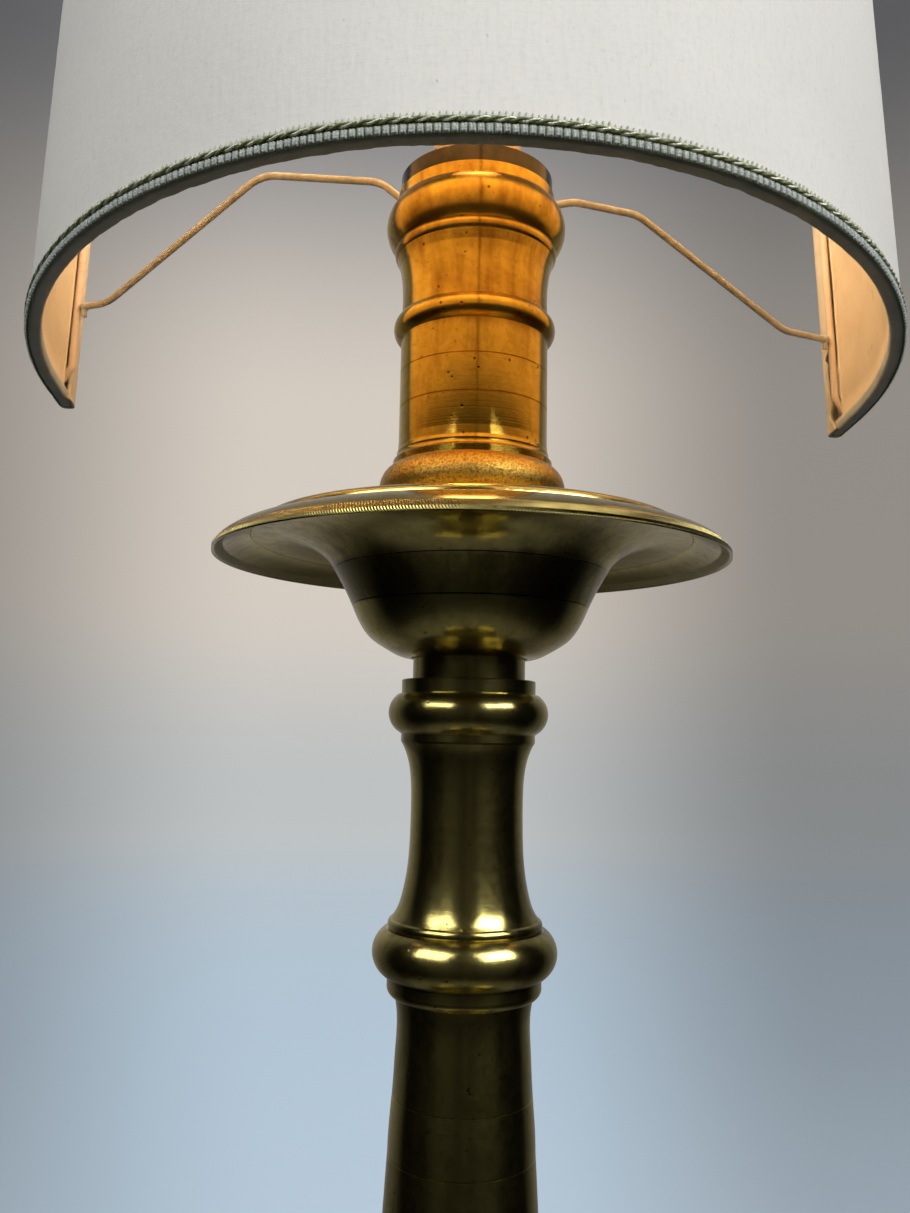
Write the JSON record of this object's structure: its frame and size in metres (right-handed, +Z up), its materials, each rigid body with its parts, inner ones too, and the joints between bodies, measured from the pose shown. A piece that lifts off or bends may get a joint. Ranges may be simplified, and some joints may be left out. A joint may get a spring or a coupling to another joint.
{
  "type": "brass candlestick lamp",
  "caption": "Turned brass candlestick lamp with a wide drip pan, a thick candle tube and a half-round linen shade, open at the back, on two wire arms.",
  "frame": {"origin": "on the floor, on the axis of the turned column, at the middle of the felt under the foot", "axes": "+Z up along the column; -Y towards the closed front of the shade, +Y towards its open back; +X to the right seen from the front"},
  "size_m": [0.4214, 0.2976, 0.8839],
  "materials": {
    "aged_brass": "aged, satin, turned",
    "green_baize": "napped",
    "black_plastic": "matte",
    "steel": "zinc plated",
    "ceramic": "unglazed",
    "cream_card": "matte",
    "contact_brass": "bright",
    "solder": "dull",
    "black_glass": "gloss",
    "bulb_cap": "satin",
    "bulb_glass": "frosted",
    "stem_glass": "clear",
    "tungsten": "dull",
    "dark_steel": "dark, worn",
    "cream_wire": "matte, worn at the bends",
    "lining_card": "matte",
    "linen": "slubbed linen",
    "hem_tape": "woven tape",
    "braid_pearl": "pearly yarn",
    "braid_rope": "twisted metallic cord",
    "braid_thread": "thin loops"
  },
  "bodies": {
    "lamp": {"base_felt": "green_baize", "foot": "aged_brass", "cable_bush": "black_plastic", "foot_collar": "aged_brass", "lower_knop": "aged_brass", "lower_shaft": "aged_brass", "middle_knop": "aged_brass", "upper_shaft": "aged_brass", "top_knop": "aged_brass", "neck": "aged_brass", "bowl_cup": "aged_brass", "drip_pan": "aged_brass", "candle_base": "aged_brass", "candle_tube": "aged_brass", "threaded_rod": "steel", "rod_nuts": "steel", "rod_washers": "steel", "top_plate": "steel", "centring_discs": "steel", "holder_base": "steel", "holder_cup": "ceramic", "holder_sleeve": "cream_card", "screw_shell": "contact_brass", "centre_contact": "contact_brass"},
    "bulb_end": {"bulb_tip": "solder"},
    "bulb": {"bulb_insulator": "black_glass", "bulb_cap": "bulb_cap", "bulb_glass": "bulb_glass", "bulb_stem": "stem_glass", "bulb_filament": "tungsten"},
    "carrier": {"carrier_ring": "dark_steel"},
    "shade": {"arm_left": "cream_wire", "arm_right": "cream_wire", "frame_bottom_wire": "cream_wire", "frame_top_wire": "cream_wire", "frame_end_wire_left": "cream_wire", "frame_end_wire_right": "cream_wire", "frame_front_rib": "cream_wire", "shade_lining": "lining_card", "shade_fabric": "linen", "bottom_hem_tape": "hem_tape", "top_hem_tape": "hem_tape", "end_tape_left": "hem_tape", "end_tape_right": "hem_tape", "bottom_braid_beads": "braid_pearl", "bottom_braid_rope": "braid_rope", "bottom_braid_loops": "braid_thread", "top_braid_beads": "braid_pearl", "top_braid_rope": "braid_rope", "top_braid_loops": "braid_thread"}
  },
  "joints": [
    {"name": "shade_lift", "type": "slide", "parent": "lamp", "child": "carrier", "axis": [0, 0, 1], "range_m": [0, 0.14]},
    {"name": "shade_swivel", "type": "hinge", "parent": "carrier", "child": "shade", "pos_m": [0, 0, 0.707], "axis": [0, 0, 1], "continuous": true},
    {"name": "bulb_rise", "type": "slide", "parent": "lamp", "child": "bulb_end", "axis": [0, 0, 1], "range_m": [0, 0.0182]},
    {"name": "bulb_turn", "type": "hinge", "parent": "bulb_end", "child": "bulb", "pos_m": [0, 0, 0.73], "axis": [0, 0, 1], "range_deg": [0, 1800]}
  ],
  "couplings": [
    {"joint": "bulb_rise", "follows": "bulb_turn", "m_per_rad": 0.00057757}
  ]
}
